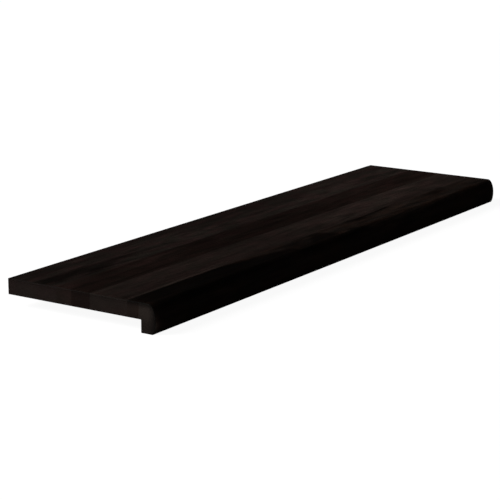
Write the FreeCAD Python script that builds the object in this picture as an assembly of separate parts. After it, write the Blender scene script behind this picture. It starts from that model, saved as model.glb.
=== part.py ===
import FreeCAD, Part
import math
import os

# A solid wood stair tread, glued up edge to edge from staves and a moulded nosing.
# Lengths in millimetres. X runs along the tread, Y from the nosing to the back, Z up.
# The origin is under the middle of the tread, level with the bottom of the nosing.

# Size of the whole tread
tread_length = 1117.6
board_thickness = 25.4

# Widths of the pieces, from the front of the nosing to the back edge
nosing_width = 50.8
fourth_stave_width = 69.5
third_stave_width = 35.5
second_stave_width = 29.2
back_stave_width = 94.4

# The nosing: how far it drops below the board, and how thick the drop is
drop_depth = 20.0
drop_thickness = 26.4

# How far the nosing's face falls back from its foremost line, at the top and at the bottom
upper_round = 12.7
lower_round = 6.35

# Sanding that takes the sharpness off every outer edge
eased_edge = 0.8

# What follows from those sizes
pieces = [
    ("nosing", nosing_width),
    ("fourth_stave", fourth_stave_width),
    ("third_stave", third_stave_width),
    ("second_stave", second_stave_width),
    ("back_stave", back_stave_width),
]
tread_depth = sum(width for name, width in pieces)
nose_height = board_thickness + drop_depth
left_end = -tread_length / 2
right_end = tread_length / 2
front = -tread_depth / 2
back = tread_depth / 2
drop_back = front + drop_thickness
nosing_bottom = 0.0
underside = drop_depth
top = nose_height
quarter_turn = math.pi / 2
same_place = 0.001


def at_left_end(y, z):
    """The point of the left end at this depth and height."""
    return FreeCAD.Vector(left_end, y, z)


def quarter_ellipse(falls_back, height):
    """A curve from this height to the foremost line, which it meets upright."""
    start = at_left_end(front + falls_back, height)
    middle = at_left_end(front + falls_back, underside)
    foremost = at_left_end(front, underside)
    return Part.Arc(Part.Ellipse(start, foremost, middle), 0, quarter_turn).toShape()


def tread_blank():
    """The section of board, drop and rounded face, carried along the length."""
    flat_sides = Part.makePolygon([
        at_left_end(front + upper_round, top),
        at_left_end(back, top),
        at_left_end(back, underside),
        at_left_end(drop_back, underside),
        at_left_end(drop_back, nosing_bottom),
        at_left_end(front + lower_round, nosing_bottom),
    ])
    lower_face = quarter_ellipse(lower_round, nosing_bottom)
    upper_face = quarter_ellipse(upper_round, top)
    outline = Part.Wire(flat_sides.Edges + [lower_face, upper_face])
    return Part.Face(outline).extrude(FreeCAD.Vector(tread_length, 0, 0))


def long_edge(solid, y, z):
    """The edge that runs the whole length at this depth and height."""
    for edge in solid.Edges:
        middle = edge.CenterOfMass
        if abs(middle.y - y) < same_place and abs(middle.z - z) < same_place:
            return edge
    raise ValueError(f"no long edge at depth {y}, height {z}")


def end_edges(solid):
    """The outline of both sawn ends."""
    edges = []
    for face in solid.Faces:
        across = face.CenterOfMass.x
        if abs(abs(across) - right_end) < same_place:
            edges += face.Edges
    return edges


def ease_arrises(solid):
    """Both ends, the back and the drop's heel, with their sharp edges sanded off."""
    arrises = end_edges(solid)
    arrises.append(long_edge(solid, back, top))
    arrises.append(long_edge(solid, back, underside))
    arrises.append(long_edge(solid, drop_back, nosing_bottom))
    return solid.makeFillet(eased_edge, arrises)


def between_joints(solid, joint_in_front, joint_behind):
    """The piece of the tread between two glue joints, which are upright and straight."""
    corner = at_left_end(joint_in_front, nosing_bottom)
    slab = Part.makeBox(tread_length, joint_behind - joint_in_front, nose_height, corner)
    return solid.common(slab).removeSplitter().Solids[0]


def write_pieces(tread):
    """Each piece in its own file, cut at the joints one behind the other."""
    joint = front
    for name, width in pieces:
        piece = between_joints(tread, joint, joint + width)
        piece.exportStep(f"parts/{name}.step")
        joint += width


os.makedirs("parts", exist_ok=True)
write_pieces(ease_arrises(tread_blank()))
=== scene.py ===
import math

import bpy
import numpy as np
from mathutils import Matrix, Vector


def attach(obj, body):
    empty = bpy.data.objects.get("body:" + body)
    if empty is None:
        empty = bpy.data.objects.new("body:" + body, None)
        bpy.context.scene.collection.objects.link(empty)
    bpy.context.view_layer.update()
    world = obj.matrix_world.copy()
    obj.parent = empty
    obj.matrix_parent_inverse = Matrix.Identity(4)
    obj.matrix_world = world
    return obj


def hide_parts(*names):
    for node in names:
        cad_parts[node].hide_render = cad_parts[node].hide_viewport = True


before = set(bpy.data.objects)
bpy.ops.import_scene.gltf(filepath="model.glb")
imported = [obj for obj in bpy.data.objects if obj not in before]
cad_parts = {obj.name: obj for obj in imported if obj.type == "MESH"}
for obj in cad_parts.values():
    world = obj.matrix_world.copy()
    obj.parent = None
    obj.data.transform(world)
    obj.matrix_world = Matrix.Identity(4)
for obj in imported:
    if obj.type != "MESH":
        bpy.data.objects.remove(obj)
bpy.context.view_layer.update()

MM = 0.001

# The tread's sizes, as in the source
tread_length = 1117.6
board_thickness = 25.4
nosing_width = 50.8
fourth_stave_width = 69.5
third_stave_width = 35.5
second_stave_width = 29.2
back_stave_width = 94.4
drop_depth = 20.0
drop_thickness = 26.4
upper_round = 12.7
lower_round = 6.35
eased_edge = 0.8

# How far the outline of a sawn end's flat stands in: a hair less than the easing, so that
# no eased corner closes up
end_inset = 0.77

# The most that wear takes off the soft part of a growth ring
worn_depth = 0.045

tread_depth = (nosing_width + fourth_stave_width + third_stave_width
               + second_stave_width + back_stave_width)
front = -tread_depth / 2
back = tread_depth / 2
end = tread_length / 2
top = board_thickness + drop_depth
underside = drop_depth
middle_height = (top + underside) / 2
drop_back = front + drop_thickness
nosing_joint = front + nosing_width
fourth_joint = nosing_joint + fourth_stave_width
third_joint = fourth_joint + third_stave_width
second_joint = third_joint + second_stave_width


# Camera, at the photograph's viewing angle
def look_from(place, heading, downward, lean):
    """A camera at a place in millimetres, facing a heading from +X towards +Y, tipped
    downward and leant over to one side, all in degrees."""
    h, d, r = (math.radians(a) for a in (heading, downward, lean))
    ahead = Vector((math.cos(h) * math.cos(d), math.sin(h) * math.cos(d), -math.sin(d)))
    level_right = Vector((math.sin(h), -math.cos(h), 0.0))
    level_down = ahead.cross(level_right)
    right = math.cos(r) * level_right + math.sin(r) * level_down
    up = math.sin(r) * level_right - math.cos(r) * level_down
    turn = Matrix((right, up, -ahead)).transposed().to_4x4()
    return Matrix.Translation(Vector(place) * MM) @ turn


camera_data = bpy.data.cameras.new("camera")
camera_data.sensor_width = 36.0
camera_data.lens = 120.6937
camera_data.clip_end = 200.0
camera = bpy.data.objects.new("camera", camera_data)
camera.matrix_world = look_from(place=(-2415.33, -1530.05, 688.16), heading=33.4806,
                                downward=13.6125, lean=-0.121)
bpy.context.scene.collection.objects.link(camera)
bpy.context.scene.camera = camera


# Soft shapes and noise, used for the wood's figure
def fade(low, high, value):
    """0 below low, 1 above high, and a smooth S curve of the third degree between."""
    t = np.clip((value - low) / (high - low), 0.0, 1.0)
    return t * t * (3.0 - 2.0 * t)


def within(low, high, soft, value):
    """1 between low and high, fading to 0 over a soft margin on either side."""
    return fade(low - soft, low + soft, value) * (1.0 - fade(high - soft, high + soft, value))


# How many random heights drift takes, and how far on in them the next cell of each axis is
LATTICE_HEIGHTS = 4096
LATTICE_STRIDES = (1, 57, 1013)


def drift(seed, *measures):
    """Value noise between -1 and 1: random heights on a square lattice, blended between
    the corners of each cell with an S curve. Each measure is already in cells."""
    heights = np.random.default_rng(seed).uniform(-1.0, 1.0, LATTICE_HEIGHTS)
    cells = [np.floor(m).astype(np.int64) for m in measures]
    parts = [m - c for m, c in zip(measures, cells)]
    parts = [p * p * (3.0 - 2.0 * p) for p in parts]
    total = 0.0
    for corner in range(2 ** len(measures)):
        weight = 1.0
        index = 0
        for axis, (c, p) in enumerate(zip(cells, parts)):
            far = corner >> axis & 1
            weight = weight * (p if far else 1.0 - p)
            index = index + (c + far) * LATTICE_STRIDES[axis]
        total = total + weight * heights[index % LATTICE_HEIGHTS]
    return total


# The outline of each piece's section, as points in depth and height, each with its
# direction into the wood. This many of them go round an eased corner.
ARC_POINTS = 5


def eased_corner(middle, start_turn, end_turn):
    """Points on the easing's circle round a middle, from one angle to the other in
    quarter turns. The direction into the wood points back to the middle."""
    t = np.linspace(start_turn, end_turn, ARC_POINTS) * math.pi / 2
    inward = -np.stack([np.cos(t), np.sin(t)], 1)
    return np.array(middle) - inward * eased_edge, inward


def face_arc(falls_back, rise, count):
    """A quarter ellipse that starts on the nosing's foremost line, where it is upright,
    and ends falls_back behind it and rise above (or below) it, where it is level."""
    t = np.linspace(0.0, math.pi / 2, count)
    place = np.stack([front + falls_back * (1.0 - np.cos(t)), underside + rise * np.sin(t)], 1)
    inward = np.stack([np.cos(t) * abs(rise), -np.sin(t) * falls_back * np.sign(rise)], 1)
    return place, inward / np.linalg.norm(inward, axis=1)[:, None]


def straight(start, finish, inward, count):
    """Evenly spaced points on a straight line, all with the same direction into the wood.
    A side that is glued has none: its direction is zero."""
    t = np.linspace(0.0, 1.0, count)[:, None]
    place = np.array(start) * (1.0 - t) + np.array(finish) * t
    return place, np.tile(np.array(inward, float), (count, 1))


def joined(*runs):
    """Runs of points one after the other, without the repeated point where two meet."""
    places = [runs[0][0]] + [place[1:] for place, inward in runs[1:]]
    inwards = [runs[0][1]] + [inward[1:] for place, inward in runs[1:]]
    return np.vstack(places), np.vstack(inwards)


def stave_sides(front_joint, back_joint, across, up):
    """Bottom, top, front and back of a stave's section, with this many points across and
    up. The bottom and top run from the front to the back, and the two sides, which are
    glued, run from the bottom to the top."""
    return {
        "bottom": straight((front_joint, underside), (back_joint, underside), (0, 1), across),
        "top": straight((front_joint, top), (back_joint, top), (0, -1), across),
        "front": straight((front_joint, underside), (front_joint, top), (0, 0), up),
        "back": straight((back_joint, underside), (back_joint, top), (0, 0), up),
    }


def back_stave_sides(across, up):
    """A stave's section whose back is the tread's back edge, eased at its two corners."""
    behind = back - eased_edge
    low, high = underside + eased_edge, top - eased_edge
    sides = stave_sides(second_joint, behind, across, up)
    sides["back"] = joined(
        eased_corner((behind, low), -1, 0),
        straight((back, low), (back, high), (-1, 0), up - 2 * (ARC_POINTS - 1)),
        eased_corner((behind, high), 0, 1),
    )
    return sides


def nosing_sides(across, up):
    """The nosing's section. Its front is two quarter ellipses that meet upright on the
    foremost line, and its bottom goes along the drop, round the heel, up the drop's
    inner face and along the rabbet to the joint. The top's points are spread to stand
    about over those of the drop and of the rabbet."""
    under = inner = across * 3 // 10
    corner = under + ARC_POINTS + inner - 3
    heel = drop_back - eased_edge
    bottom = joined(
        straight((front + lower_round, 0.0), (heel, 0.0), (0, 1), under),
        eased_corner((heel, eased_edge), -1, 0),
        straight((drop_back, eased_edge), (drop_back, underside), (-1, 0), inner),
        straight((drop_back, underside), (nosing_joint, underside), (0, 1), across - corner),
    )
    bottom[1][corner] = (-1.0, 1.0)
    stations = [0, under - 1, corner, across - 1]
    over = [front + upper_round, drop_back - 6.0, drop_back - 0.4, nosing_joint]
    y = np.interp(np.arange(across), stations, over)
    below = up * 2 // 5
    lower, lower_inward = face_arc(lower_round, -drop_depth, below)
    upper = face_arc(upper_round, board_thickness, up - below + 1)
    return {
        "bottom": bottom,
        "top": (np.stack([y, np.full(across, top)], 1), np.tile((0.0, -1.0), (across, 1))),
        "front": joined((lower[::-1], lower_inward[::-1]), upper),
        "back": straight((nosing_joint, underside), (nosing_joint, top), (0, 0), up),
    }


def filled(bottom, upper, fore, aft):
    """Points all over a section whose four sides are given: the blend of the bottom with
    the top, plus the blend of the front with the back, less the blend of the corners."""
    u = np.linspace(0.0, 1.0, len(bottom))[:, None, None]
    v = np.linspace(0.0, 1.0, len(fore))[None, :, None]
    along = (1 - v) * bottom[:, None] + v * upper[:, None]
    across = (1 - u) * fore[None] + u * aft[None]
    corners = ((1 - u) * ((1 - v) * bottom[0] + v * upper[0])
               + u * ((1 - v) * bottom[-1] + v * upper[-1]))
    return along + across - corners


def stations_along():
    """Places of the cross sections along the tread, with how far each stands in from the
    full outline: six round the easing's quarter circle at either end, five close behind
    it, and the rest 8 mm apart."""
    t = np.linspace(0.0, math.pi / 2, 6)
    x = -end + eased_edge * (1.0 - np.cos(t))
    stands_in = end_inset * (1.0 - np.sin(t))
    close_behind = -end + np.array([1.6, 3.0, 5.0, 8.0, 12.0])
    first_wide, wide_count = -end + 20.0, 136
    wide = np.linspace(first_wide, -first_wide, wide_count)
    middle = np.concatenate([close_behind, wide, -close_behind[::-1]])
    return (np.concatenate([x, middle, -x[::-1]]),
            np.concatenate([stands_in, np.zeros(len(middle)), stands_in[::-1]]))


# The figure of the wood, stave by stave, with painted light and shade near the ends.
# Lengths inside drift are the size of its cells.
def rings(stave, x, y, z):
    """Growth rings counted from the heart of the log: the distance from the pith over the
    ring width, with a slow and a fine drift. The pith wanders sideways and up and down
    along the stave, and climbs or falls with the stave's slope."""
    seed = stave["seed"]
    pith_y = stave["pith"][0] + stave["wander"] * drift(seed, x / 420.0)
    pith_z = stave["pith"][1] + stave["slope"] * x + 5.0 * drift(seed + 1, x / 260.0)
    radius = np.hypot(y - pith_y, z - pith_z)
    slow = drift(seed + 2, x / 170.0, radius / 9.0)
    fine = drift(seed + 3, x / 45.0, radius / 4.0)
    return radius / stave["ring"] + 0.55 * slow + 0.14 * fine


def mark(x, y, place, half_length, half_width, lean):
    """A soft streak along the grain: 1 in the middle, falling off as the fourth power of
    the distance in half lengths and half widths, leant across the grain by lean."""
    along = (x - place[0]) / half_length
    over = (y - place[1] - lean * (x - place[0])) / half_width
    return np.exp(-(along * along + over * over) ** 2)


# The wavy line on top of the nosing, in length and depth, in front of which it is near black
DARK_EDGE = [
    (-340, -86), (-283, -94), (-241, -97), (-199, -105), (-180, -110), (-160, -114),
    (-148, -126), (-127, -128), (-96, -120), (-83, -108), (-60, -96), (-31, -93),
    (-15, -124), (12, -127), (25, -120), (46, -126), (82, -136), (250, -136),
    (300, -133), (600, -132),
]


def nosing_tone(x, y):
    """The nosing: light behind the dark edge and near black in front of it, changing over
    a soft band that is widest in the left half. The light part is lighter to the right
    and darker towards the front."""
    edge = np.interp(x, *zip(*DARK_EDGE)) + 1.5 * drift(71, x / 9.0)
    soft = 3.5 + 3.0 * within(-300.0, 0.0, 50.0, x)
    dark = 1.0 - fade(-soft, soft, y - edge)
    light = 0.74 + 0.10 * fade(60.0, 160.0, x) - 0.16 * fade(-105.0, -128.0, y)
    near_black = 0.13 + 0.12 * fade(-330.0, -100.0, x)
    return light * (1.0 - dark) + near_black * dark


def fourth_stave_tone(x, y):
    """The fourth stave: the lightest, lighter towards its back joint and to the right, and
    a little darker in the left half and right along the back joint."""
    tone = 1.0 + 0.32 * fade(-200.0, 250.0, x) + 0.28 * fade(-80.0, -35.0, y)
    return tone - 0.10 * within(-330.0, -80.0, 60.0, x) - 0.12 * fade(-30.0, -19.4, y)


def third_stave_tone(x, y):
    """The third stave: a dark band from end to end, darkest left of the middle and lighter
    to the right."""
    return 0.62 - 0.06 * within(-300.0, 60.0, 90.0, x) + 0.21 * fade(80.0, 400.0, x)


def second_stave_tone(x, y):
    """The second stave: as dark as the third in the middle, and lighter to both ends."""
    return 0.60 + 0.22 * (1.0 - fade(-360.0, -270.0, x)) + 0.22 * fade(60.0, 330.0, x)


def back_stave_tone(x, y):
    """The back stave: light, lighter to the right and a little darker in the middle of its
    length. It darkens towards the back edge, but less so to the right."""
    tone = 1.12 + 0.31 * fade(40.0, 330.0, x) - 0.16 * within(-120.0, 60.0, 70.0, x)
    return tone - 0.28 * fade(95.0, 140.0, y) * (1.0 - 0.35 * fade(150.0, 400.0, x))


# Each row: place, half length and half width in millimetres, lean across the grain per
# millimetre along it, and the share of the tone that the streak adds or takes
STREAKS = [
    # On the nosing: the dark lens, the long dark streak and what lies round them
    ((8, -99), 44, 13, 0.00, 0.28),
    ((-126, -108), 42, 17, 0.00, -0.44),
    ((68, -108), 20, 6, 0.00, 0.50),
    ((108, -107), 18, 7, 0.00, -0.30),
    ((94, -96), 27, 7, 0.00, -0.64),
    ((75, -89), 22, 4, 0.10, -0.40),
    ((165, -91), 80, 3.0, 0.05, -0.80),
    ((200, -89), 38, 3.0, 0.08, -0.50),
    ((262, -105), 36, 3.5, 0.00, 0.30),
    ((235, -113), 34, 3.0, 0.00, -0.40),
    ((300, -114), 42, 6, 0.00, -0.30),
    ((352, -106), 58, 15, 0.00, -0.34),
    # On the nosing: the knots near the right end
    ((361, -93), 8, 3.0, 0.00, -0.30),
    ((384, -96), 8, 3.0, 0.00, -0.30),
    ((382, -97), 36, 9, 0.00, -0.56),
    ((409, -94), 8, 3.5, 0.00, -0.40),
    ((424, -90), 24, 5, 0.00, -0.46),
    ((433, -95), 9, 3.0, 0.00, -0.45),
    # On the fourth stave, the first two along its joint with the nosing
    ((-430, -85), 125, 2.2, 0.00, 0.70),
    ((-260, -86), 70, 2.2, 0.00, 0.15),
    ((-490, -77), 55, 10, 0.00, -0.20),
    ((-315, -36), 62, 18, 0.00, 0.26),
    ((215, -60), 150, 18, 0.00, 0.20),
    ((238, -67), 80, 13, 0.00, 0.32),
    ((320, -30), 150, 12, 0.00, 0.14),
    ((515, -71), 50, 15, 0.00, -0.28),
    # On the third stave
    ((-518, 0), 30, 9, 0.00, -0.22),
    ((-345, 4), 38, 11, 0.00, 0.24),
    ((-213, 4), 26, 10, 0.00, -0.18),
    ((190, -11), 30, 4, 0.00, -0.28),
    ((460, 16), 70, 24, 0.00, -0.10),
    # On the second stave
    ((-470, 26), 90, 17, 0.00, -0.18),
    ((-315, 34), 45, 8, 0.10, 0.14),
    ((-240, 37), 42, 6, 0.00, 0.16),
    ((-215, 26), 55, 17, 0.00, -0.24),
    ((-85, 37), 50, 7, 0.00, -0.22),
    ((-60, 26), 120, 13, 0.02, -0.16),
    ((38, 31), 28, 12, 0.00, -0.26),
    ((60, 36), 90, 10, 0.00, -0.12),
    ((85, 44), 48, 2.0, 0.00, -0.32),
    ((185, 34), 70, 10, 0.00, 0.16),
    ((385, 32), 28, 12, 0.00, 0.20),
    # On the back stave: the dark streaks near the left end
    ((-522, 74), 45, 16, 0.00, -0.62),
    ((-448, 68), 45, 13, -0.05, -0.40),
    ((-442, 54), 32, 9, 0.00, -0.30),
    ((-408, 69), 32, 8, 0.00, -0.36),
    ((-400, 60), 60, 5, -0.10, -0.25),
    ((-390, 80), 110, 6, -0.03, -0.45),
    ((-375, 73), 35, 8, 0.00, -0.18),
    # On the rest of the back stave
    ((-420, 114), 60, 11, 0.00, 0.28),
    ((-170, 54), 72, 7, 0.00, 0.28),
    ((-160, 88), 70, 20, -0.05, 0.12),
    ((90, 104), 130, 30, 0.00, -0.15),
    ((170, 112), 80, 12, 0.00, -0.12),
    ((230, 78), 100, 18, 0.00, 0.16),
    ((315, 46), 24, 2.4, 0.00, -0.45),
    ((330, 68), 55, 17, 0.00, 0.22),
    ((335, 56), 35, 7, 0.00, 0.25),
    ((385, 112), 35, 14, 0.00, 0.28),
]


def feathering(stave, x, y):
    """How far the fibres draw an edge of tone aside, in millimetres: fine noise plus
    broader noise, both drawn out along the grain."""
    return (1.5 * drift(stave["seed"] + 11, x / 28.0, y / 1.7)
            + 1.1 * drift(stave["seed"] + 12, x / 75.0, y / 4.5))


def mottling(stave, x, y, z):
    """Lighter and darker flecks of three sizes, drawn out along the grain, plus bands a
    couple of growth rings wide."""
    seed = stave["seed"]
    across = y + z
    flecks = (drift(seed + 5, x / 65.0, across / 11.0)
              + 0.8 * drift(seed + 6, x / 26.0, across / 5.0)
              + 0.8 * drift(seed + 8, x / 80.0, across / 3.0))
    return flecks + 0.8 * drift(seed + 7, rings(stave, x, y, z) / 2.3, x / 300.0)


def painted_corner_highlight(from_end, z):
    """A painted highlight where the light catches the nosing's rounded face beside a sawn
    end: 1 at that corner, low down, and less with the square of the distance from it both
    ways, as a bell curve."""
    return np.exp(-((from_end / 8.0) ** 2 + ((z - 12.0) / 12.0) ** 2))


def figure_and_painted_light(stave, x, y, z):
    """The tone of the wood on its long faces: the stave's own tone, times every streak
    that reaches it, times one plus a share of the mottling. All edges are feathered along
    the fibres. Down the nosing's face the tone blends into an even dark one, with painted
    light near either end and a painted highlight low down at each corner. Every stave
    gets lighter towards its ends, exponentially: a painted highlight along the lit arrises
    of the ends."""
    aside = feathering(stave, x, y)
    tone = stave["tone"](x, y + aside)
    for place, half_length, half_width, lean, change in STREAKS:
        streak = mark(x + 9.0 * aside, y + aside, place, half_length, half_width, lean)
        tone = tone * (1.0 + change * streak)
    from_end = end - np.abs(x)
    if stave["name"] == "nosing":
        face_tone = 0.36
        face = 1.0 - fade(underside + 6.0, top - 5.0, z)
        tone = tone + (face_tone - tone) * face
        # Painted light: near either end the face is lighter, with a painted highlight low down at
        # the corner
        tone = tone + face * (0.5 * np.exp(-from_end / 4.0) + 1.7 * painted_corner_highlight(from_end, z))
        # Painted highlight: the nosing's top is lighter close to either end, along the lit arris
        tone = tone + 0.35 * (1.0 - face) * np.exp(-from_end / 11.0)
    else:
        # Painted highlight: every other stave is lighter close to either end, along the lit arris
        tone = tone * (1.0 + 0.14 * np.exp(-from_end / 12.0))
    darkest = 0.05
    return np.maximum(tone * (1.0 + stave["mottle"] * mottling(stave, x, y, z)), darkest)


# On the nosing's sawn ends the cool, light patch gives way to a warmer, darker strip
# between these distances behind the foremost line
patch_end, strip_start = 29.0, 31.5


def end_warmth(stave, y, z):
    """Which of the two stain colours a sawn end takes, from 0, cool, to 1, warm, with soft
    blotches. The nosing's is cool up to the warm strip."""
    blotches = 0.35 * drift(stave["seed"] + 13, y / 19.0, z / 13.0)
    if stave["name"] == "nosing":
        return 0.6 * fade(patch_end, strip_start, y - front) * (1.0 + blotches)
    return stave["end_warmth"] + blotches


def end_tone(stave, y, z):
    """The tone of the sawn end: the stave's own with soft blotches, and a darker band along
    the top that is painted shade under the top edge. The nosing's is a light patch that
    dies away towards its rounded face and its foot and darkens under the top, where the
    fall-off towards the face and the top is painted shading of the rounded nose. A bell
    curve in front is a painted highlight on the corner, and the darker strip lies behind."""
    blotches = drift(stave["seed"] + 10, y / 14.0, z / 11.0)
    if stave["name"] == "nosing":
        behind = y - front
        # The patch dies away towards the rounded face: painted shading
        light = fade(-4.0, 17.0, behind) * (1.0 - 0.46 * fade(patch_end, strip_start, behind))
        # Painted highlight on the corner of the nosing's rounded face
        light = light + 0.16 * np.exp(-((behind - 3.0) / 5.0) ** 2 - ((z - 12.0) / 9.0) ** 2)
        lower = 1.0 - 0.42 * (1.0 - fade(10.0, 30.0, z))
        # Painted shade under the top edge
        upper = 1.0 - 0.70 * fade(top - 10.0, top - 1.0, z)
        return 1.82 * np.maximum(light, 0.04) * lower * upper * (1.0 + 0.06 * blotches)
    # Painted shade: the band under the top edge is darker
    upper = 1.0 - 0.30 * fade(top - 9.0, top, z)
    return stave["end_tone"] * (1.0 + 0.10 * blotches) * upper


# For each stave: its section, the tones of its long faces and ends, how mottled it is and
# how much painted shade darkens its top arrises. Then where the pith of its log lay, with
# its slope and its wander, and how wide the rings are. Last, the two colours of the stain
# and how much the late wood of a ring darkens them.
STAVES = [
    {
        "name": "nosing", "seed": 110, "sides": nosing_sides(across=112, up=46),
        "tone": nosing_tone, "mottle": 0.22, "arris": 0.70,
        "pith": (-112.0, -22.0), "slope": 0.012, "wander": 6.0, "ring": 2.6,
        "warm": (0.0134, 0.0075, 0.0056), "cool": (0.0105, 0.0079, 0.0066), "late": 0.36,
    },
    {
        "name": "fourth_stave", "seed": 220,
        "sides": stave_sides(nosing_joint, fourth_joint, across=118, up=20),
        "tone": fourth_stave_tone, "mottle": 0.17, "arris": 0.25,
        "end_tone": 1.12, "end_warmth": 0.5,
        "pith": (-70.0, -35.0), "slope": -0.015, "wander": 10.0, "ring": 2.9,
        "warm": (0.0120, 0.0072, 0.0063), "cool": (0.0103, 0.0077, 0.0063), "late": 0.34,
    },
    {
        "name": "third_stave", "seed": 330,
        "sides": stave_sides(fourth_joint, third_joint, across=62, up=20),
        "tone": third_stave_tone, "mottle": 0.22, "arris": 0.40,
        "end_tone": 0.53, "end_warmth": 0.8,
        "pith": (25.0, -20.0), "slope": 0.010, "wander": 6.0, "ring": 2.2,
        "warm": (0.0130, 0.0067, 0.0056), "cool": (0.0108, 0.0072, 0.0057), "late": 0.32,
    },
    {
        "name": "second_stave", "seed": 440,
        "sides": stave_sides(third_joint, second_joint, across=52, up=20),
        "tone": second_stave_tone, "mottle": 0.22, "arris": 0.50,
        "end_tone": 1.00, "end_warmth": 0.25,
        "pith": (60.0, 75.0), "slope": -0.008, "wander": 5.0, "ring": 2.4,
        "warm": (0.0130, 0.0067, 0.0058), "cool": (0.0108, 0.0072, 0.0057), "late": 0.32,
    },
    {
        "name": "back_stave", "seed": 550, "sides": back_stave_sides(across=158, up=30),
        "tone": back_stave_tone, "mottle": 0.21, "arris": 0.50,
        "end_tone": 1.08, "end_warmth": 0.65,
        "pith": (82.0, -28.0), "slope": 0.022, "wander": 9.0, "ring": 3.1,
        "warm": (0.0121, 0.0070, 0.0063), "cool": (0.0098, 0.0080, 0.0065), "late": 0.34,
    },
]


# Each stave's mesh
def loop_round(sides):
    """The section's outline as one closed run: bottom, back, top and front, each without
    its last point, which is the next one's first."""
    bottom, upper, fore, aft = (sides[k] for k in ("bottom", "top", "front", "back"))
    return tuple(
        np.vstack([bottom[i][:-1], aft[i][:-1], upper[i][:0:-1], fore[i][:0:-1]])
        for i in (0, 1)
    )


def pressed_in(y, z, inward, stands_in, worn=0.0):
    """Outline points moved into the wood, by how far their section stands in plus what is
    worn away. Points on a glued side close up towards the middle height instead."""
    inset = stands_in + worn
    squeeze = 1.0 - stands_in / (board_thickness / 2)
    glued = (inward == 0.0).all(-1)
    z = np.where(glued, middle_height + (z - middle_height) * squeeze,
                 z + inward[..., 1] * inset)
    return y + inward[..., 0] * inset, z


def grain_relief(stave, x, y, z):
    """How deep the surface lies under the full outline: the soft early wood is worn by a
    few hundredths of a millimetre, by the ring's own wave, and the wear fades out at every
    end and glue joint so that neighbours meet flush. The nosing's front and the back
    stave's back are no joints, so there it goes on."""
    wave = 0.5 + 0.5 * np.cos(2.0 * math.pi * rings(stave, x, y, z))
    uneven = 0.6 + 0.4 * drift(stave["seed"] + 9, x / 40.0, y / 3.0, z / 3.0)
    first, last = stave["sides"]["top"][0][[0, -1], 0]
    if stave["name"] == "nosing":
        first = -np.inf
    if stave["name"] == "back_stave":
        last = np.inf
    inside = fade(0.0, 2.5, y - first) * fade(0.0, 2.5, last - y)
    from_end = end - np.abs(x)
    return np.maximum(worn_depth * wave * uneven, 0.0) * inside * fade(0.8, 4.0, from_end)


def sawn_section(sides):
    """Points all over the flat of a sawn end, inside its eased rim."""
    rim = {side: np.stack(pressed_in(*place.T, inward, end_inset), 1)
           for side, (place, inward) in sides.items()}
    return filled(rim["bottom"], rim["top"], rim["front"], rim["back"])


def rim_numbers(across, up):
    """The number on the closed outline of each point round a section's net, counted as
    loop_round runs. Points inside the net have none yet."""
    index = np.full((across, up), -1)
    index[:-1, 0] = np.arange(across - 1)
    index[-1, :-1] = across - 1 + np.arange(up - 1)
    index[:0:-1, -1] = across + up - 2 + np.arange(across - 1)
    index[0, :0:-1] = 2 * across + up - 3 + np.arange(up - 1)
    return index


def stave_surface(stave):
    """Vertices and four-cornered faces of one stave: its outline carried along the length,
    worn by the grain, and closed at both ends with the filled section."""
    place, inward = loop_round(stave["sides"])
    x, stands_in = stations_along()
    around = len(place)
    along = np.repeat(x[:, None], around, 1)
    depth = np.repeat(place[None, :, 0], len(x), 0)
    height = np.repeat(place[None, :, 1], len(x), 0)
    worn = grain_relief(stave, along, depth, height)
    depth, height = pressed_in(depth, height, inward, stands_in[:, None], worn)

    section = sawn_section(stave["sides"])
    across, up = section.shape[:2]
    inner_spots = section[1:-1, 1:-1].reshape(-1, 2)
    inner = len(inner_spots)
    points = [np.stack([along, depth, height], 2).reshape(-1, 3)]
    total = around * len(x)
    caps = []
    for place_along, rim_start in ((-end, 0), (end, around * (len(x) - 1))):
        cap = rim_numbers(across, up) + rim_start
        cap[1:-1, 1:-1] = total + np.arange(inner).reshape(across - 2, up - 2)
        total += inner
        points.append(np.column_stack([np.full(inner, place_along), inner_spots]))
        caps.append(cap)

    grid = np.arange(around * len(x)).reshape(len(x), around)
    after = np.roll(grid, -1, 1)
    skin = np.stack([grid[:-1], after[:-1], after[1:], grid[1:]], 2).reshape(-1, 4)
    near, far = (
        np.stack([c[:-1, :-1], c[:-1, 1:], c[1:, 1:], c[1:, :-1]], 2).reshape(-1, 4)
        for c in caps
    )
    faces = np.vstack([skin, near, far[:, ::-1]])
    return np.vstack(points), faces, around, len(x), section


# Where the unrolled long faces and the two ends lie on a stave's map, which is one unit
# square: the corner each starts from, and its width and height
SKIN_PLACE, SKIN_SIZE = (0.01, 0.01), (0.98, 0.79)
ENDS_PLACE, END_SIZE = ((0.01, 0.82), (0.51, 0.82)), (0.47, 0.17)


def bake_layout(faces, points, around, stations, section):
    """Where each corner of each face lies on the stave's own map: the long faces unrolled,
    length across and outline upwards, and the two ends side by side in a strip above."""
    place = points[:around * stations].reshape(stations, around, 3)
    middle = place[stations // 2]
    steps = np.linalg.norm(np.roll(middle, -1, 0) - middle, axis=1)
    rolled = np.concatenate([[0.0], np.cumsum(steps)]) / steps.sum()
    along = (place[:, 0, 0] + end) / tread_length
    net = np.stack(np.meshgrid(along, rolled, indexing="ij"), 2) * SKIN_SIZE + SKIN_PLACE
    skin = np.stack([net[:-1, :-1], net[:-1, 1:], net[1:, 1:], net[1:, :-1]], 2).reshape(-1, 2)
    lowest, highest = section.reshape(-1, 2).min(0), section.reshape(-1, 2).max(0)
    ends = faces[(stations - 1) * around:]
    spot = (points[ends.ravel()][:, 1:] - lowest) / (highest - lowest)
    corner = np.repeat(ENDS_PLACE, len(spot) // 2, 0)
    return np.vstack([skin, spot * END_SIZE + corner])


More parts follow.
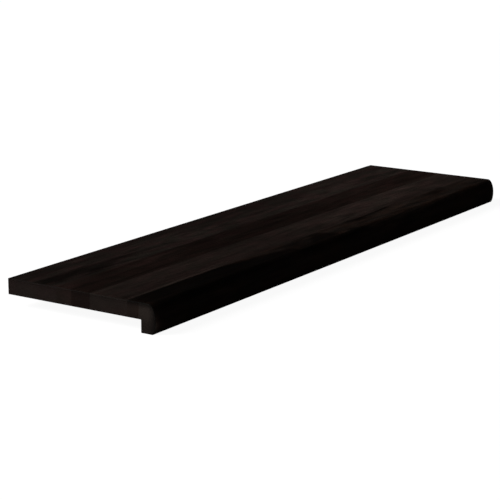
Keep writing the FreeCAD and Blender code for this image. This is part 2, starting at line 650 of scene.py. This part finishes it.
def surface_layers(stave, points):
    """What the stain reads at each vertex: the ring count, the tone, how much rougher than
    the long faces it is, and how far and at what warmth the two stain colours even out.
    The tone carries painted light and shade near the ends. Over the easing of an end the
    tone fades from that of the long faces to that of the sawn end. A band along the easing,
    the arris, is rougher and, high up, darker with painted shade. Close to an end, and under
    the painted highlight on the nosing's corner, the colours even out."""
    x, y, z = points.T
    from_end = end - np.abs(x)
    sawn = 1.0 - fade(0.05, 0.75, from_end)
    arris = within(0.02, 1.0, 0.02, from_end)
    end_grain = 1.0 - fade(0.8, 2.4, from_end)
    tone = figure_and_painted_light(stave, x, y, z) * (1.0 - sawn) + end_tone(stave, y, z) * sawn
    # Painted shade along the top arris of each end
    tone *= 1.0 - stave["arris"] * arris * fade(26.0, 40.0, z)
    even = end_grain
    if stave["name"] == "nosing":
        on_face = fade(front + 30.0, front + 10.0, y)
        # The two stain colours even out under the painted highlight on the nosing's corner
        even = np.maximum(even, painted_corner_highlight(from_end, z) * on_face)
    return {"rings": rings(stave, x, y, z), "tone": tone, "rough": end_grain + 2.6 * arris,
            "even": even, "warmth": end_warmth(stave, y, z)}


def carve(stave):
    """Makes one stave's object from its surface, with its layers on the vertices. Edges
    sharper than 50 degrees stay sharp."""
    points, faces, around, stations, section = stave_surface(stave)
    mesh = bpy.data.meshes.new(stave["name"] + "_wood")
    mesh.vertices.add(len(points))
    mesh.vertices.foreach_set("co", (points * MM).astype(np.float32).ravel())
    mesh.loops.add(faces.size)
    mesh.loops.foreach_set("vertex_index", faces.ravel().astype(np.int32))
    mesh.polygons.add(len(faces))
    mesh.polygons.foreach_set("loop_start", np.arange(0, faces.size, 4, dtype=np.int32))
    mesh.update(calc_edges=True)
    mesh.polygons.foreach_set("use_smooth", np.ones(len(faces), bool))
    mesh.set_sharp_from_angle(angle=math.radians(50))
    for name, values in surface_layers(stave, points).items():
        layer = mesh.attributes.new(name, "FLOAT", "POINT")
        layer.data.foreach_set("value", values.astype(np.float32))
    layout = bake_layout(faces, points, around, stations, section)
    stave_map = mesh.uv_layers.new(name="OFBake")
    stave_map.data.foreach_set("uv", layout.astype(np.float32).ravel())
    piece = bpy.data.objects.new(stave["name"] + "_wood", mesh)
    bpy.context.scene.collection.objects.link(piece)
    return piece


# Stained wood, with the painted light and shade that the vertices' tone carries
def layer_value(tree, name):
    """The value that a stave's vertices carry under this name."""
    node = tree.nodes.new("ShaderNodeAttribute")
    node.attribute_name = name
    return node.outputs["Fac"]


def number(tree, kind, *values):
    """A Math node: each input is a socket or a plain number."""
    node = tree.nodes.new("ShaderNodeMath")
    node.operation = kind
    for place, value in enumerate(values):
        if isinstance(value, (int, float)):
            node.inputs[place].default_value = value
        else:
            tree.links.new(value, node.inputs[place])
    return node.outputs[0]


def ramp(tree, value, stops):
    """A grey ramp through (place, height) stops."""
    node = tree.nodes.new("ShaderNodeValToRGB")
    elements = node.color_ramp.elements
    while len(elements) < len(stops):
        elements.new(0.5)
    for element, (place, height) in zip(elements, stops):
        element.position = place
        element.color = (height, height, height, 1.0)
    tree.links.new(value, node.inputs[0])
    return node.outputs[0]


def streaks(tree, coordinates, across, along, detail, roughness=0.55):
    """Noise drawn out along the grain: cells of these sizes in millimetres."""
    mapping = tree.nodes.new("ShaderNodeMapping")
    mapping.inputs["Scale"].default_value = (1000 / along, 1000 / across, 1000 / across)
    tree.links.new(coordinates, mapping.inputs["Vector"])
    noise = tree.nodes.new("ShaderNodeTexNoise")
    noise.inputs["Scale"].default_value = 1.0
    noise.inputs["Detail"].default_value = detail
    noise.inputs["Roughness"].default_value = roughness
    tree.links.new(mapping.outputs[0], noise.inputs["Vector"])
    return noise.outputs[0]


# How much an open pore darkens the stain
pore_depth = 0.50


def stained_wood_with_painted_light(stave):
    """Dark stain on open wood, with the painted light and shade that the tone on the
    vertices carries. The tone is darkened in the late wood of each ring, in the pores and
    along the fibres, and tints a mix of two stain colours: patchy on the long faces, and
    one even mix on the sawn ends. The finish is satin, duller in the pores and on the end
    grain. The bump is fine fibre and late wood, less the pores."""
    material = bpy.data.materials.new(stave["name"] + "_stain_and_painted_light")
    material.use_nodes = True
    tree = material.node_tree
    shader = tree.nodes["Principled BSDF"]
    coordinates = tree.nodes.new("ShaderNodeTexCoord").outputs["Object"]

    fibre = streaks(tree, coordinates, across=1.1, along=70.0, detail=4.0, roughness=0.62)
    fine = streaks(tree, coordinates, across=0.35, along=14.0, detail=2.0)
    pore_cells = streaks(tree, coordinates, across=0.30, along=5.5, detail=1.0)
    patches = streaks(tree, coordinates, across=16.0, along=60.0, detail=2.0)

    # The late wood swells once in each ring, and the pores show most in the early wood
    ring_place = number(tree, "FRACT", layer_value(tree, "rings"))
    late = ramp(tree, ring_place,
                [(0.0, 0.25), (0.10, 0.05), (0.55, 0.25), (0.88, 1.0), (1.0, 0.3)])
    early = number(tree, "SUBTRACT", 1.0, late)
    pores = ramp(tree, pore_cells, [(0.0, 1.0), (0.34, 1.0), (0.42, 0.0), (1.0, 0.0)])
    pores = number(tree, "MULTIPLY", pores, number(tree, "MULTIPLY_ADD", early, 0.7, 0.3))

    # The colour is the stain times the tone, the late wood and each of these noises
    value = number(tree, "MULTIPLY_ADD", late, -stave["late"], 1.0 + stave["late"] * 0.4)
    for noise, swing, least in ((fibre, 1.7, 0.15), (fine, 0.7, 0.65),
                                (pores, -pore_depth, 1.0), (patches, 0.4, 0.8)):
        value = number(tree, "MULTIPLY", value, number(tree, "MULTIPLY_ADD", noise, swing, least))
    value = number(tree, "MULTIPLY", value, layer_value(tree, "tone"))

    stain = tree.nodes.new("ShaderNodeMix")
    stain.data_type = "RGBA"
    stain.inputs["A"].default_value = (*stave["cool"], 1.0)
    stain.inputs["B"].default_value = (*stave["warm"], 1.0)
    blend = ramp(tree, patches, [(0.0, 0.0), (0.38, 0.1), (0.62, 0.9), (1.0, 1.0)])
    to_even = number(tree, "SUBTRACT", layer_value(tree, "warmth"), blend)
    blend = number(tree, "MULTIPLY_ADD", layer_value(tree, "even"), to_even, blend)
    tree.links.new(blend, stain.inputs["Factor"])
    colour = tree.nodes.new("ShaderNodeVectorMath")
    colour.operation = "SCALE"
    tree.links.new(stain.outputs["Result"], colour.inputs[0])
    tree.links.new(value, colour.inputs["Scale"])
    tree.links.new(colour.outputs[0], shader.inputs["Base Color"])

    rough = number(tree, "MULTIPLY_ADD", fibre, 0.10, 0.26)
    rough = number(tree, "MULTIPLY_ADD", pores, 0.22, rough)
    rough = number(tree, "MULTIPLY_ADD", layer_value(tree, "rough"), 0.14, rough)
    tree.links.new(rough, shader.inputs["Roughness"])
    shader.inputs["IOR"].default_value = 1.47
    shader.inputs["Specular IOR Level"].default_value = 0.07

    height = number(tree, "MULTIPLY", fine, 0.5)
    height = number(tree, "MULTIPLY_ADD", pores, -0.9, height)
    height = number(tree, "MULTIPLY_ADD", late, 0.25, height)
    bump = tree.nodes.new("ShaderNodeBump")
    bump.inputs["Strength"].default_value = 0.5
    bump.inputs["Distance"].default_value = 0.00012
    tree.links.new(height, bump.inputs["Height"])
    tree.links.new(bump.outputs[0], shader.inputs["Normal"])
    return material


for stave in STAVES:
    piece = carve(stave)
    piece.data.materials.append(stained_wood_with_painted_light(stave))
    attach(piece, "root")
    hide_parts(stave["name"])


# A plain pale floor
def studio_floor():
    """A level square that glows almost white by itself, so that shadows on it stay faint,
    and that throws no light back on the tread."""
    half = 40.0
    mesh = bpy.data.meshes.new("floor")
    corners = [(-half, -half, 0), (half, -half, 0), (half, half, 0), (-half, half, 0)]
    mesh.from_pydata(corners, [], [(0, 1, 2, 3)])
    floor = bpy.data.objects.new("floor", mesh)
    bpy.context.scene.collection.objects.link(floor)
    material = bpy.data.materials.new("pale_floor")
    material.use_nodes = True
    shader = material.node_tree.nodes["Principled BSDF"]
    shader.inputs["Base Color"].default_value = (0.10, 0.10, 0.10, 1.0)
    shader.inputs["Roughness"].default_value = 1.0
    shader.inputs["Specular IOR Level"].default_value = 0.0
    shader.inputs["Emission Color"].default_value = (1.0, 1.0, 1.0, 1.0)
    shader.inputs["Emission Strength"].default_value = 0.93
    mesh.materials.append(material)
    floor.visible_diffuse = False
    floor.visible_glossy = False


studio_floor()


# Plain soft studio light
def soft_light(name, towards, strength, spread):
    """A very large soft light far off in the direction given, spread over an angle in
    degrees."""
    data = bpy.data.lights.new(name, "SUN")
    data.energy = strength
    data.angle = math.radians(spread)
    light = bpy.data.objects.new(name, data)
    light.rotation_mode = "QUATERNION"
    light.rotation_quaternion = Vector(towards).to_track_quat("Z", "Y")
    bpy.context.scene.collection.objects.link(light)


soft_light("key", towards=(-0.56, 0.58, 0.59), strength=4.6, spread=30.0)
soft_light("fill", towards=(-0.35, -0.90, 0.25), strength=1.2, spread=60.0)

# Next to no light from all round, so that the stain's darkest parts stay near black
world = bpy.data.worlds.new("studio")
world.use_nodes = True
world.node_tree.nodes["Background"].inputs["Color"].default_value = (0.95, 0.97, 1.0, 1.0)
world.node_tree.nodes["Background"].inputs["Strength"].default_value = 0.002
bpy.context.scene.world = world
bpy.context.scene.view_settings.view_transform = "Standard"
